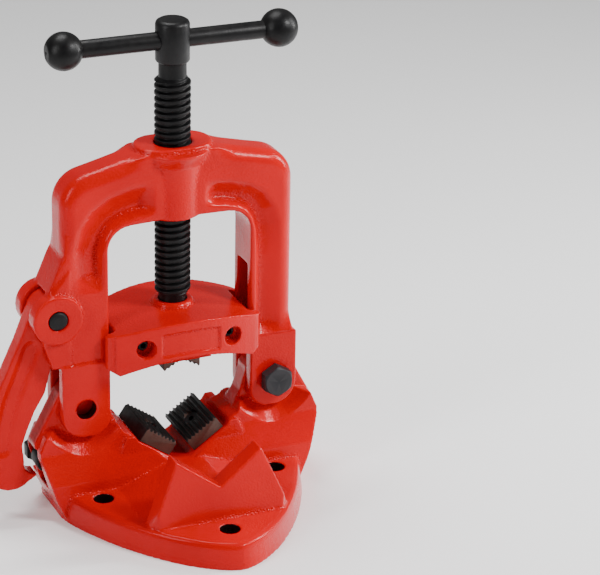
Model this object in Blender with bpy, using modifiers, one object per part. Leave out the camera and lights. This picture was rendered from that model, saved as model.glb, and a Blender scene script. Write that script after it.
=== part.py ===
"""Hinged yoke pipe vise, modelled in Blender as separate named pieces.

Frame: millimetres times MM give metres. Z is up and runs through the spindle, X runs along the width of the
yoke, and the pipe lies along Y. The origin is under the spindle, at the underside of the base.
"""

import math

import bmesh
import bpy
from mathutils import Matrix, Vector

MM = 0.001
GAP = 0.3  # between pieces that touch

# Yoke and hinge
HINGE_X, HINGE_Z = 73.0, 83.5
LEG_INNER, LEG_OUTER, FORK_OUTER = 54.5, 88.0, 90.5
FORK_BOTTOM, FORK_TOP, SLOT_TOP = 61.5, 119.0, 173.0
FORK_HALF, ARCH_HALF, SLOT_HALF = 18.0, 16.0, 8.5
ARCH_INNER_TOP, BOSS_TOP, BOSS_BOTTOM, BOSS_RADIUS = 221.0, 273.5, 219.0, 19.5
HINGE_HOLE, HINGE_PIN = 7.4, 7.0

# Latch
LATCH_X, LATCH_Z, LATCH_BOSS, LATCH_EYE, LATCH_PIN = -94.0, 157.5, 18.5, 16.0, 7.0
LATCH_HALF, LATCH_FACE = 7.2, 21.0
CATCH_X, CATCH_Z, CATCH_RADIUS, CATCH_PIN = -99.5, 41.5, 8.0, 5.0
CATCH_ACROSS, CATCH_HEAD, CATCH_ROOM = 17.0, 7.5, -88.5
SEAT_SWING = math.radians(4.5)  # how far the hook swings inwards to take the catch roller

# Spindle
PITCH, CREST, ROOT, NECK = 5.0, 13.0, 10.75, 10.1
THREAD_BOTTOM, THREAD_TOP, HEAD_BOTTOM, HEAD_TOP, HEAD_RADIUS = 158.0, 322.0, 333.0, 363.5, 12.2
TAIL_BOTTOM, GROOVE_BOTTOM, GROOVE_TOP, GROOVE_RADIUS = 122.3, 126.7, 135.3, 8.0
BAR_Z, BAR_RADIUS, BALL_REACH, BALL_RADIUS, BAR_TURN = 348.5, 6.5, 79.0, 13.7, math.radians(-2.5)

# Jaws
JAW_SLOPE = math.radians(34.5)
JAW_WIDTH, JAW_THICK, JAW_LENGTH, JAW_Y, JAW_TEETH, TOOTH = 27.5, 11.5, 45.0, 4.0, 8, 1.9
SEAT_X, SEAT_Z = 9.8, 35.5  # the lower inner corner of a lower jaw
UPPER_HALF, UPPER_TIP, UPPER_APEX, UPPER_TOP = 14.0, 103.5, 110.5, 119.0
UPPER_SCREWS = (-14.0, 20.5)  # Y of the screws that hold the upper jaw

# Jaw holder
HOLDER_REACH, HOLDER_BODY, HOLDER_BOW, HOLDER_END = 59.0, 51.0, 39.5, 25.5
HOLDER_TOP, HOLDER_TOP_END, HOLDER_LOW, HOLDER_LOW_END = 149.5, 140.0, 121.5, 110.5
RING_TOP, RING_RADIUS = 152.7, 14.8
SCREW_X, SCREW_Z, COUNTERBORE, KEEPER_SCREW = 33.0, 131.0, 7.0, 3.7

# Base
FOOT_HALF, FOOT_NOSE, FOOT_SHOULDER, FOOT_REAR, FOOT_TOP, FOOT_CORNER = 94.0, -138.5, -18.0, 42.0, 19.5, 20.0
EAR_X, EAR_Z, EAR_HALF, WEB_HALF, EAR_RADIUS = 109.0, 51.0, 12.5, 8.0, 19.5
POCKET_NEAR, POCKET_FAR = 25.0, 37.0  # radius of the hollow under a leg, at the web and at the face
REST_Y, REST_THICK, REST_LEAN = -97.0, 15.0, 0.15
REST_TIP_X, REST_TIP_Z, REST_FOOT_X, REST_VEE_Z = 32.5, 67.5, 53.0, 43.6
HOLE_X, HOLE_Y, NOSE_HOLE_Y, HOLE_RADIUS = 67.0, -35.0, -111.0, 7.2

SIDES = 32

parts = None
helpers = None


# ------------------------------------------------------------------ materials


def material(name, colour, roughness, metallic):
    """A plain Principled BSDF, shared by the pieces of one finish."""
    found = bpy.data.materials.get(name)
    if found:
        return found
    made = bpy.data.materials.new(name)
    made.use_nodes = True
    shader = made.node_tree.nodes["Principled BSDF"]
    shader.inputs["Base Color"].default_value = (*colour, 1.0)
    shader.inputs["Roughness"].default_value = roughness
    shader.inputs["Metallic"].default_value = metallic
    return made


def finish(piece, name):
    """Each piece has its own copy of its finish."""
    looks = {
        "enamel": ((0.62, 0.02, 0.015), 0.35, 0.0),
        "black_steel": ((0.02, 0.02, 0.022), 0.45, 0.6),
        "jaw_steel": ((0.06, 0.045, 0.04), 0.55, 0.7),
        "bright_steel": ((0.55, 0.55, 0.57), 0.35, 1.0),
    }
    piece.data.materials.clear()
    piece.data.materials.append(material(f"{piece.name}_{name}", *looks[name]))


# ------------------------------------------------------------------ outlines


def rounded(corners, steps=5):
    """An outline through (x, y, radius) corners, each turned into an arc of that radius."""
    outline = []
    count = len(corners)
    for i, (x, y, radius) in enumerate(corners):
        here = Vector((x, y))
        if radius <= 0:
            outline.append((x, y))
            continue
        before = (Vector(corners[i - 1][:2]) - here).normalized()
        after = (Vector(corners[(i + 1) % count][:2]) - here).normalized()
        half = before.angle(after) / 2
        reach = radius / math.tan(half)
        centre = here + (before + after).normalized() * (radius / math.sin(half))
        start = here + before * reach - centre
        end = here + after * reach - centre
        turn = start.angle_signed(end)
        for k in range(steps + 1):
            spoke = start.copy()
            spoke.rotate(Matrix.Rotation(-turn * k / steps, 2))
            outline.append(tuple(centre + spoke))
    return outline


def arc(cx, cy, radius, start, end, steps):
    """Points along a circle, angles in degrees."""
    turns = [math.radians(start + (end - start) * k / steps) for k in range(steps + 1)]
    return [(cx + radius * math.cos(t), cy + radius * math.sin(t)) for t in turns]


def inwards(outline, inset):
    """An outline with its points moved inwards."""
    area = sum(ax * by - bx * ay for (ax, ay), (bx, by) in zip(outline, outline[1:] + outline[:1]))
    inset = math.copysign(inset, -area)
    moved = []
    for i, (x, y) in enumerate(outline):
        (ax, ay), (bx, by) = outline[i - 1], outline[(i + 1) % len(outline)]
        step = inset / math.hypot(bx - ax, by - ay)
        moved.append((x + step * (by - ay), y - step * (bx - ax)))
    return moved


# ------------------------------------------------------------------ solids


def link(piece, to_helpers):
    """Puts a piece in the parts' or the helpers' collection."""
    (helpers if to_helpers else parts).objects.link(piece)
    if to_helpers:
        piece.hide_render = True
        piece.display_type = "WIRE"
    return piece


def plate(name, outline, low, high, plane="XZ", helper=False):
    """A flat outline made thick: in plane XZ it runs from y = low to high, in plane XY from z = low to high."""
    curve = bpy.data.curves.new(name, "CURVE")
    curve.dimensions = "2D"
    curve.fill_mode = "BOTH"
    curve.extrude = (high - low) / 2 * MM
    spline = curve.splines.new("POLY")
    spline.points.add(len(outline) - 1)
    for point, (x, y) in zip(spline.points, outline):
        point.co = (x * MM, y * MM, 0, 1)
    spline.use_cyclic_u = True
    flat = bpy.data.objects.new(name + "_outline", curve)
    bpy.context.scene.collection.objects.link(flat)
    bpy.context.view_layer.update()
    mesh = bpy.data.meshes.new_from_object(flat.evaluated_get(bpy.context.evaluated_depsgraph_get()))
    bpy.data.objects.remove(flat)
    middle = (low + high) / 2 * MM
    if plane == "XZ":
        mesh.transform(Matrix.Translation((0, middle, 0)) @ Matrix.Rotation(math.pi / 2, 4, "X"))
    else:
        mesh.transform(Matrix.Translation((0, 0, middle)))
    mesh.name = name
    shape = bmesh.new()
    shape.from_mesh(mesh)
    bmesh.ops.remove_doubles(shape, verts=shape.verts, dist=0.00001)
    bmesh.ops.recalc_face_normals(shape, faces=shape.faces)
    shape.to_mesh(mesh)
    shape.free()
    return link(bpy.data.objects.new(name, mesh), helper)


def loft(name, rings):
    """A closed skin through rings of as many points each."""
    shape = bmesh.new()
    loops = [[shape.verts.new(Vector(spot) * MM) for spot in ring] for ring in rings]
    count = len(loops[0])
    for low, high in zip(loops, loops[1:]):
        for i in range(count):
            j = (i + 1) % count
            shape.faces.new((low[i], low[j], high[j], high[i]))
    caps = [shape.faces.new(loops[0]), shape.faces.new(loops[-1])]
    bmesh.ops.triangulate(shape, faces=caps)
    bmesh.ops.recalc_face_normals(shape, faces=shape.faces)
    if shape.calc_volume(signed=True) < 0:
        bmesh.ops.reverse_faces(shape, faces=shape.faces)
    mesh = bpy.data.meshes.new(name)
    shape.to_mesh(mesh)
    shape.free()
    return link(bpy.data.objects.new(name, mesh), False)


def block(name, low, high, helper=False):
    """A box between two corners."""
    shape = bmesh.new()
    bmesh.ops.create_cube(shape, size=MM)
    size = [b - a for a, b in zip(low, high)]
    middle = [(a + b) / 2 * MM for a, b in zip(low, high)]
    bmesh.ops.scale(shape, vec=size, verts=shape.verts)
    bmesh.ops.translate(shape, vec=middle, verts=shape.verts)
    mesh = bpy.data.meshes.new(name)
    shape.to_mesh(mesh)
    shape.free()
    return link(bpy.data.objects.new(name, mesh), helper)


def place(origin, axis):
    """A frame at a point, in millimetres, whose Z lies along the axis."""
    turn = Vector((0, 0, 1)).rotation_difference(Vector(axis)).to_matrix().to_4x4()
    return Matrix.Translation(Vector(origin) * MM) @ turn


def turned(name, profile, origin=(0, 0, 0), axis=(0, 0, 1), helper=False, sides=SIDES):
    """A profile of (radius, height) pairs, listed from the top down and turned about an axis through origin."""
    mesh = bpy.data.meshes.new(name)
    mesh.from_pydata(
        [(r * MM, 0, h * MM) for r, h in profile], [(i, i + 1) for i in range(len(profile) - 1)], []
    )
    piece = link(bpy.data.objects.new(name, mesh), helper)
    screw = piece.modifiers.new("turn", "SCREW")
    screw.steps = screw.render_steps = sides
    screw.use_merge_vertices = True
    screw.merge_threshold = 0.00001
    bpy.context.view_layer.update()
    made = bpy.data.meshes.new_from_object(piece.evaluated_get(bpy.context.evaluated_depsgraph_get()))
    piece.modifiers.remove(screw)
    piece.data = made
    bpy.data.meshes.remove(mesh)
    made.transform(place(origin, axis))
    made.shade_smooth()
    made.set_sharp_from_angle(angle=math.radians(35))
    return piece


def rod(name, radius, start, end, helper=False, sides=SIDES, chamfer=0.0):
    """A round bar between two points."""
    start, end = Vector(start), Vector(end)
    length = (end - start).length
    profile = [(0, length), (radius - chamfer, length)]
    if chamfer:
        profile += [(radius, length - chamfer), (radius, chamfer), (radius - chamfer, 0), (0, 0)]
    else:
        profile += [(radius, 0), (0, 0)]
    return turned(name, profile, start, (end - start).normalized(), helper, sides)


def hexagon(name, across, low, high, x, z, helper=False):
    """A six-sided prism along Y, with a corner at the top."""
    corner = across / math.sqrt(3)
    outline = [
        (x + corner * math.sin(math.pi * k / 3), z + corner * math.cos(math.pi * k / 3)) for k in range(6)
    ]
    return plate(name, outline, low, high, helper=helper)


def combine(piece, *others, how="DIFFERENCE"):
    """Cuts the others out of a piece, or joins them to it."""
    for other in others:
        modifier = piece.modifiers.new(other.name, "BOOLEAN")
        modifier.operation = how
        modifier.object = other
        modifier.solver = "EXACT"
        bpy.context.view_layer.update()
        made = bpy.data.meshes.new_from_object(piece.evaluated_get(bpy.context.evaluated_depsgraph_get()))
        piece.modifiers.clear()
        piece.data = made
    for other in others:
        if other.hide_render:
            bpy.data.objects.remove(other)
    return piece


def pivot(piece, origin, turn=0.0):
    """Moves a piece's origin onto its joint's axis, without moving the piece."""
    frame = Matrix.Translation(Vector(origin) * MM) @ Matrix.Rotation(turn, 4, "Z")
    piece.data.transform(frame.inverted())
    piece.matrix_world = frame


# ------------------------------------------------------------------ base


def foot_outline(inset):
    """The foot seen from above, moved inwards: a straight rear, and sides that close in a curve on the nose."""
    half = arc(FOOT_HALF - FOOT_CORNER, FOOT_REAR - FOOT_CORNER, FOOT_CORNER, 90, 0, 5)
    steps = 22
    for k in range(steps):
        along = 1 - (1 - k / steps) ** 1.6
        width = FOOT_HALF * (1 - along**1.3) ** 0.64
        half.append((width, FOOT_SHOULDER + (FOOT_NOSE - FOOT_SHOULDER) * along))
    outline = half + [(0.0, FOOT_NOSE)] + [(-x, y) for x, y in reversed(half)]
    return inwards(outline, inset)


def foot():
    """The foot plate: its wall leans in and its upper edge is rounded, so it is a loft of outlines."""
    rings = [(0.0, 0.0), (1.3, 9.0), (2.0, 15.0), (3.0, 18.0), (5.2, FOOT_TOP)]
    return loft("base_casting", [[(x, y, z) for x, y in foot_outline(inset)] for inset, z in rings])


def ear_outline():
    """The web between the two fork plates of each leg, from ear to ear, seen from the front."""
    right = [
        (0.0, 26.0),
        (38.0, 26.0),
        (38.0, 50.0),
        (44.0, 60.0),
        (50.0, 72.0),
        (54.5, 87.0),
    ]
    right += arc(HINGE_X, HINGE_Z, EAR_RADIUS, 160, 20, 10)
    right += [(103.0, 68.0), (EAR_X, 57.0), (EAR_X, EAR_Z - 3), (97.0, 15.0), (91.0, 4.0), (0.0, 4.0)]
    return [(x, z) for x, z in right if x > 0] + [(-x, z) for x, z in reversed(right) if x > 0]


def wall_outline():
    """The thick wall under the ears, before the hollows below the legs are cut."""
    right = [(34.0, 50.5), (38.0, 57.5), (44.0, 60.0), (48.0, 66.0), (88.0, 70.0), (103.0, 66.0)]
    right += [(EAR_X - 1, 54.0), (EAR_X - 1, EAR_Z - 3), (98.0, 15.0), (92.0, 2.0)]
    return [(-x, z) for x, z in reversed(right)] + [(0.0, 26.0)] + right


def seat_outline():
    """The vee block under the lower jaws, seen along the pipe."""
    rise = math.tan(JAW_SLOPE)
    low = SEAT_Z - GAP / math.cos(JAW_SLOPE)
    half = [
        (SEAT_X - 4, low - 4 * rise), (34.0, low + (34.0 - SEAT_X) * rise), (37.0, 56.5), (43.0, 56.5),
        (47.0, 48.0), (50.0, 6.0),
    ]
    return half + [(-x, z) for x, z in reversed(half)]


def rest_outline():
    """The pipe rest on the nose: two points with a vee between them."""
    half = [(0.0, REST_VEE_Z), (REST_TIP_X, REST_TIP_Z), (REST_FOOT_X, 20.0), (REST_FOOT_X, 8.0)]
    return half + [(-x, z) for x, z in reversed(half[1:])]


def base_casting():
    """Foot, wall, ears, vee block and pipe rest in one casting."""
    base = foot()
    wall = plate("wall", wall_outline(), -40.0, 40.0, helper=True)
    lean = [(18.0, 90.0), (18.0, 52.0), (20.0, 46.0), (25.0, 28.0), (27.0, -5.0)]
    side_on = plate("side_on", lean + [(-y, z) for y, z in reversed(lean)], -120.0, 120.0, helper=True)
    side_on.data.transform(Matrix.Rotation(math.pi / 2, 4, "Z"))
    combine(wall, side_on, how="INTERSECT")
    for side in (-1, 1):
        for front in (-1, 1):
            y = front * (WEB_HALF + 0.5)
            hollow = [
                (0, 32.0), (POCKET_FAR + 12.0, 32.0), (POCKET_FAR, 12.0), (POCKET_NEAR, 0.0), (0, 0.0)
            ]
            origin = (side * HINGE_X, y, HINGE_Z)
            combine(wall, turned("hollow", hollow, origin, (0, front, 0), helper=True, sides=36))
    combine(wall, block("head_room", (-130.0, EAR_HALF, 24.0), (CATCH_ROOM, 40.0, 90.0), helper=True))
    spine = plate(
        "spine", [(-15, 32), (15, 32), (60, 17), (60, 5), (-60, 5), (-60, 17)], -83.0, -10.0, helper=True
    )
    rest = plate("rest", rest_outline(), REST_Y, REST_Y + REST_THICK, helper=True)
    rest.data.transform(
        Matrix(((1, 0, 0, 0), (0, 1, REST_LEAN, -REST_LEAN * FOOT_TOP * MM), (0, 0, 1, 0), (0, 0, 0, 1)))
    )
    combine(rest, plate("rest_trim", foot_outline(5.6), 6.0, 100.0, "XY", helper=True), how="INTERSECT")
    seat = plate("seat", seat_outline(), -20.7, 29.5, helper=True)
    web = plate("web", ear_outline(), -WEB_HALF, WEB_HALF, helper=True)
    combine(base, wall, seat, web, spine, rest, how="UNION")
    combine(
        base,
        block(
            "toe_slot",
            (-150.0, -WEB_HALF - 1.1, 20.5),
            (CATCH_X + CATCH_RADIUS + 1, WEB_HALF + 1.1, 53.2),
            helper=True,
        ),
    )
    for x, y in ((-HOLE_X, HOLE_Y), (HOLE_X, HOLE_Y), (0.0, NOSE_HOLE_Y)):
        combine(base, rod("bolt_hole", HOLE_RADIUS, (x, y, -5.0), (x, y, 40.0), helper=True, sides=24))
    combine(
        base,
        rod(
            "hinge_bore", HINGE_HOLE, (HINGE_X, -30, HINGE_Z), (HINGE_X, 30, HINGE_Z), helper=True, sides=24
        ),
    )
    combine(
        base,
        rod(
            "catch_bore", CATCH_PIN + GAP, (CATCH_X, -16.5, CATCH_Z), (CATCH_X, 30, CATCH_Z), helper=True,
            sides=24,
        ),
    )
    for side in (-1, 1):
        combine(base, jaw_screw_bore("seat_bore", side, 3.0 + GAP, -16.5, 1.0, helper=True))
    finish(base, "enamel")
    return base


# ------------------------------------------------------------------ jaws


def jaw_frame(side):
    """Origin in the middle of a lower jaw's seat; Z out of the seat, and X up the slope."""
    slope = side * JAW_SLOPE
    run = Vector((side * math.cos(JAW_SLOPE), 0, math.sin(JAW_SLOPE)))
    origin = Vector((side * SEAT_X, JAW_Y, SEAT_Z)) + run * (JAW_WIDTH / 2)
    return Matrix.Translation(origin * MM) @ Matrix.Rotation(-slope, 4, "Y")


def jaw_screw_bore(name, side, radius, low, high, helper):
    """A round bar square to a lower jaw's seat, through its middle."""
    frame = jaw_frame(side)
    start, end = (frame @ Vector((0, 0, h * MM)) / MM for h in (low, high))
    return rod(name, radius, start, end, helper, sides=20)


def toothed(width, teeth, depth):
    """The top of a jaw: pointed ridges side by side."""
    step = width / teeth
    line = []
    for k in range(teeth):
        x = -width / 2 + k * step
        line += [(x + 0.12 * step, -depth), (x + 0.5 * step, 0.0), (x + 0.88 * step, -depth)]
    return line


def lower_jaw(side, name):
    """A hardened block whose ridges run along the pipe, held by one countersunk screw."""
    half = JAW_WIDTH / 2
    outline = [(half, 0.0), (half, JAW_THICK - TOOTH)]
    outline += [(x, JAW_THICK + z) for x, z in reversed(toothed(JAW_WIDTH, JAW_TEETH, TOOTH))]
    outline += [(-half, JAW_THICK - TOOTH), (-half, 0.0)]
    jaw = plate(name, outline, -JAW_LENGTH / 2, JAW_LENGTH / 2)
    combine(
        jaw,
        turned(
            "countersink",
            [(0, 14.0), (6.4, 14.0), (6.4, 7.0), (3.3, 3.9), (3.3, -2.0), (0, -2.0)],
            helper=True,
            sides=24,
        ),
    )
    jaw.data.transform(jaw_frame(side))
    finish(jaw, "jaw_steel")
    return jaw


def lower_jaw_screw(side, name):
    """The countersunk screw of a lower jaw, with its socket."""
    profile = [(0, 8.6), (6.0, 8.6), (6.0, 7.1), (2.9, 4.0), (2.9, -15.5), (0, -15.5)]
    screw = turned(name, profile, sides=20)
    socket = plate(
        "socket",
        [(2.3 * math.cos(math.pi * k / 3), 2.3 * math.sin(math.pi * k / 3)) for k in range(6)],
        5.6,
        12.0,
        plane="XY",
        helper=True,
    )
    combine(screw, socket)
    screw.data.transform(jaw_frame(side))
    finish(screw, "black_steel")
    return screw


def upper_jaw():
    """The inverted vee above the pipe, with ridges along both slopes."""
    rise = UPPER_APEX - UPPER_TIP
    run = UPPER_HALF - 1.0
    half = []
    teeth = 4
    for k in range(teeth):
        x, step = run - k * run / teeth, run / teeth
        z = UPPER_TIP + rise * (run - x) / run
        half += [(x, z), (x - 0.55 * step, z + rise / teeth * 0.5 + 1.6)]
    outline = [(UPPER_HALF, UPPER_TOP), (UPPER_HALF, UPPER_TIP + 1.0)] + half
    outline += [(0.0, UPPER_APEX)] + [(-x, z) for x, z in reversed(outline)]
    jaw = plate("upper_jaw", outline, JAW_Y - JAW_LENGTH / 2, JAW_Y + JAW_LENGTH / 2)
    for y in UPPER_SCREWS:
        combine(
            jaw,
            turned(
                "countersink",
                [(0, 130), (2.8, 130), (2.8, 115.5), (5.2, 113.0), (5.2, 95), (0, 95)],
                (0, y, 0),
                helper=True,
                sides=20,
            ),
        )
    finish(jaw, "jaw_steel")
    return jaw


def upper_jaw_screw(y, name):
    """A countersunk screw that holds the upper jaw up against the holder."""
    screw = turned(
        name,
        [(0, 127.0), (2.4, 127.0), (2.4, 115.2), (4.8, 112.8), (4.8, 111.8), (0, 111.8)],
        (0, y, 0),
        sides=20,
    )
    finish(screw, "black_steel")
    return screw


# ------------------------------------------------------------------ yoke


def yoke_outline():
    """The arch seen from the front, without its thicker fork plates."""
    right = [(LEG_INNER, 70.0, 0), (LEG_INNER, ARCH_INNER_TOP - 2, 17)]
    outer = [
        (LEG_OUTER, 70.0, 0), (LEG_OUTER, 256.5, 24), (58.0, 263.0, 0), (30.0, 270.0, 0), (0.0, 271.0, 0)
    ]
    corners = [(0.0, ARCH_INNER_TOP, 0)] + right[::-1] + outer
    corners += [(-x, z, r) for x, z, r in reversed(outer[:-1])] + [(-x, z, r) for x, z, r in right]
    return rounded(corners, 7)


def fork_outline(side):
    """The fork plates of a leg, round at the bottom."""
    inner = LEG_INNER - 0.2
    corners = [
        (inner, FORK_TOP, 0), (inner, FORK_BOTTOM, 14), (FORK_OUTER, FORK_BOTTOM, 17),
        (FORK_OUTER, FORK_TOP, 0),
    ]
    return [(side * x, z) for x, z in rounded(corners, 5)]


def yoke_frame():
    """The arch, its fork plates, the threaded boss and the ears that hold the latch."""
    yoke = plate("yoke_frame", yoke_outline(), -ARCH_HALF, ARCH_HALF)
    left = plate("left_fork", fork_outline(-1), -FORK_HALF, FORK_HALF, helper=True)
    right = plate("right_fork", fork_outline(1), -FORK_HALF, FORK_HALF, helper=True)
    boss = turned(
        "boss",
        [
            (0, BOSS_TOP - 4), (27.0, BOSS_TOP - 4), (25.0, 265.0), (21.5, 259.0), (20.0, 250.0),
            (BOSS_RADIUS, 240.0), (BOSS_RADIUS, BOSS_BOTTOM), (0, BOSS_BOTTOM),
        ],
        helper=True,
        sides=40,
    )
    pad = plate(
        "pad",
        rounded([(28.5, 18.0, 17), (28.5, -18.0, 17), (-28.5, -18.0, 17), (-28.5, 18.0, 17)]),
        262.0,
        BOSS_TOP,
        plane="XY",
        helper=True,
    )
    latch_boss = rod(
        "latch_boss", LATCH_BOSS, (LATCH_X, -LATCH_FACE, LATCH_Z), (LATCH_X, LATCH_FACE, LATCH_Z),
        helper=True, sides=40,
    )
    neck = plate(
        "neck",
        [(-84.0, 192.0), (-96.5, 178.0), (-112.0, 163.0), (-97.0, 118.0), (-84.0, 118.0)],
        -ARCH_HALF - 1,
        ARCH_HALF + 1,
        helper=True,
    )
    combine(yoke, left, right, boss, pad, neck, latch_boss, how="UNION")
    reach = LEG_OUTER + 12
    combine(
        yoke,
        block(
            "left_slot", (-reach, -SLOT_HALF, 40.0), (-LEG_INNER + 2, SLOT_HALF, FORK_TOP + 3), helper=True
        ),
    )
    combine(
        yoke,
        block(
            "right_slot", (LEG_INNER - 2, -SLOT_HALF, 40.0), (reach, SLOT_HALF, FORK_TOP + 3), helper=True
        ),
    )
    combine(
        yoke,
        block(
            "left_guide", (-LEG_INNER - 15, -SLOT_HALF, 110.0), (-LEG_INNER + 2, SLOT_HALF, SLOT_TOP),
            helper=True,
        ),
    )
    combine(
        yoke,
        block(
            "right_guide", (LEG_INNER - 2, -SLOT_HALF, 110.0), (LEG_INNER + 15, SLOT_HALF, SLOT_TOP),
            helper=True,
        ),
    )
    combine(
        yoke,
        block(
            "latch_slot", (-140.0, -SLOT_HALF, 116.0), (LATCH_X + LATCH_EYE + 1, SLOT_HALF, 184.0),
            helper=True,
        ),
    )
    combine(yoke, rod("screw_bore", CREST + 0.4, (0, 0, 200.0), (0, 0, 290.0), helper=True, sides=40))
    for side in (-1, 1):
        combine(
            yoke,
            rod(
                "hinge_hole", HINGE_HOLE, (side * HINGE_X, -30, HINGE_Z), (side * HINGE_X, 30, HINGE_Z),
                helper=True, sides=24,
            ),
        )
    combine(
        yoke,
        rod(
            "latch_hole", LATCH_PIN + GAP, (LATCH_X, -30, LATCH_Z), (LATCH_X, 30, LATCH_Z), helper=True,
            sides=24,
        ),
    )
    finish(yoke, "enamel")
    return yoke


# ------------------------------------------------------------------ hinge and latch


def hinge_pieces():
    """The hinge bolt with its head at the front, and its washer and nut at the back."""
    bolt = rod(
        "hinge_bolt", HINGE_PIN, (HINGE_X, -20.0, HINGE_Z), (HINGE_X, 33.0, HINGE_Z), sides=24, chamfer=0.8
    )
    head = hexagon("head", 21.0, -27.3, -FORK_HALF - GAP, HINGE_X, HINGE_Z, helper=True)
    combine(bolt, head, how="UNION")
    washer = rod(
        "hinge_washer", 13.5, (HINGE_X, FORK_HALF + GAP, HINGE_Z), (HINGE_X, FORK_HALF + 2.8, HINGE_Z),
        sides=32,
    )
    nut = hexagon("hinge_nut", 21.0, FORK_HALF + 3.1, FORK_HALF + 14.0, HINGE_X, HINGE_Z)
    for piece in (washer, nut):
        combine(
            piece,
            rod(
                "bore", HINGE_PIN + GAP, (HINGE_X, 0, HINGE_Z), (HINGE_X, 50, HINGE_Z), helper=True,
                sides=24,
            ),
        )
    finish(bolt, "black_steel")
    finish(washer, "bright_steel")
    finish(nut, "black_steel")
    return bolt, washer, nut


def hook_outline():
    """The hook from its eye, down the arm, round the toe and back up the inside."""
    reach = math.hypot(CATCH_X - LATCH_X, CATCH_Z - LATCH_Z)
    lean = math.atan2(LATCH_X - CATCH_X, LATCH_Z - CATCH_Z) + SEAT_SWING
    seat_x, seat_z = LATCH_X - reach * math.sin(lean), LATCH_Z - reach * math.cos(lean)
    throat = CATCH_RADIUS + 0.5
    toe_top = [
        (LATCH_X - (reach + throat) * math.sin(t), LATCH_Z - (reach + throat) * math.cos(t))
        for t in (lean, lean - 0.015)
    ]
    eye = arc(LATCH_X, LATCH_Z, LATCH_EYE, -50, 150, 14)
    outer = rounded(
        [
            (-119.0, 138.0, 0),
            (-131.0, 112.0, 40),
            (-147.0, 80.0, 30),
            (-147.0, 42.0, 20),
            (-136.0, 23.5, 16),
            (-119.0, 23.5, 18),
            (-106.0, 36.0, 0),
        ],
        5,
    )[:-1]
    tip = [(toe_top[1][0], toe_top[1][1] - 1.6), toe_top[1], toe_top[0]]
    throat_wall = arc(seat_x, seat_z, throat, 250, 165, 6)
    inside = [
        (-118.3, 58.0), (-114.2, 69.6), (-108.6, 83.0), (-100.2, 97.3), (-96.6, 112.0), (-92.0, 126.0)
    ]
    return eye + outer + tip + throat_wall + inside


def latch_pieces():
    """The hook, the pin it hangs on, and the roller and pin it catches."""
    hook = plate("latch_hook", hook_outline(), -LATCH_HALF, LATCH_HALF)
    combine(
        hook,
        rod("eye", LATCH_PIN + GAP, (LATCH_X, -20, LATCH_Z), (LATCH_X, 20, LATCH_Z), helper=True, sides=24),
    )
    pin = rod(
        "latch_pin", LATCH_PIN, (LATCH_X, -LATCH_FACE - 0.8, LATCH_Z),
        (LATCH_X, LATCH_FACE + 0.8, LATCH_Z), sides=24, chamfer=0.8,
    )
    near = EAR_HALF + GAP
    start, end = (CATCH_X, -16.0, CATCH_Z), (CATCH_X, near + CATCH_HEAD / 2, CATCH_Z)
    catch = rod("catch_bolt", CATCH_PIN, start, end, sides=24, chamfer=0.5)
    combine(
        catch,
        hexagon("head", CATCH_ACROSS, near, near + CATCH_HEAD, CATCH_X, CATCH_Z, helper=True),
        how="UNION",
    )
    roller = rod(
        "catch_roller", CATCH_RADIUS, (CATCH_X, -LATCH_HALF, CATCH_Z), (CATCH_X, LATCH_HALF, CATCH_Z),
        sides=32, chamfer=0.5,
    )
    combine(
        roller,
        rod(
            "bore", CATCH_PIN + GAP, (CATCH_X, -20, CATCH_Z), (CATCH_X, 20, CATCH_Z), helper=True, sides=24
        ),
    )
    finish(hook, "enamel")
    for piece in (pin, catch, roller):
        finish(piece, "black_steel")
    return hook, pin


# ------------------------------------------------------------------ jaw holder


def holder_profile():
    """The holder from the front: an arched bar."""
    steps = 10
    top = []
    for k in range(steps + 1):
        x = HOLDER_REACH * (1 - k / steps)
        top.append((x, HOLDER_TOP - (HOLDER_TOP - HOLDER_TOP_END) * (x / HOLDER_REACH) ** 2))
    low = []
    for k in range(steps + 1):
        x = HOLDER_BODY * k / steps
        low.append((x, HOLDER_LOW - (HOLDER_LOW - HOLDER_LOW_END) * (x / HOLDER_BODY) ** 2))
    right = top[::-1] + [(HOLDER_REACH, HOLDER_LOW_END + 5.0)] + low[::-1]
    return [(x, z) for x, z in right if x > 0] + [(0.0, HOLDER_LOW)] + [
        (-x, z) for x, z in reversed(right) if x > 0
    ] + [(0.0, HOLDER_TOP)]


def holder_plan():
    """The holder from above: bowed at the front and at the back."""
    steps = 16
    bow = []
    for k in range(steps + 1):
        x = HOLDER_REACH * (1 - 2 * k / steps)
        bow.append((x, HOLDER_BOW - (HOLDER_BOW - HOLDER_END) * (x / HOLDER_REACH) ** 2))
    return bow + [(-x, -y) for x, y in bow]


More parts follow.
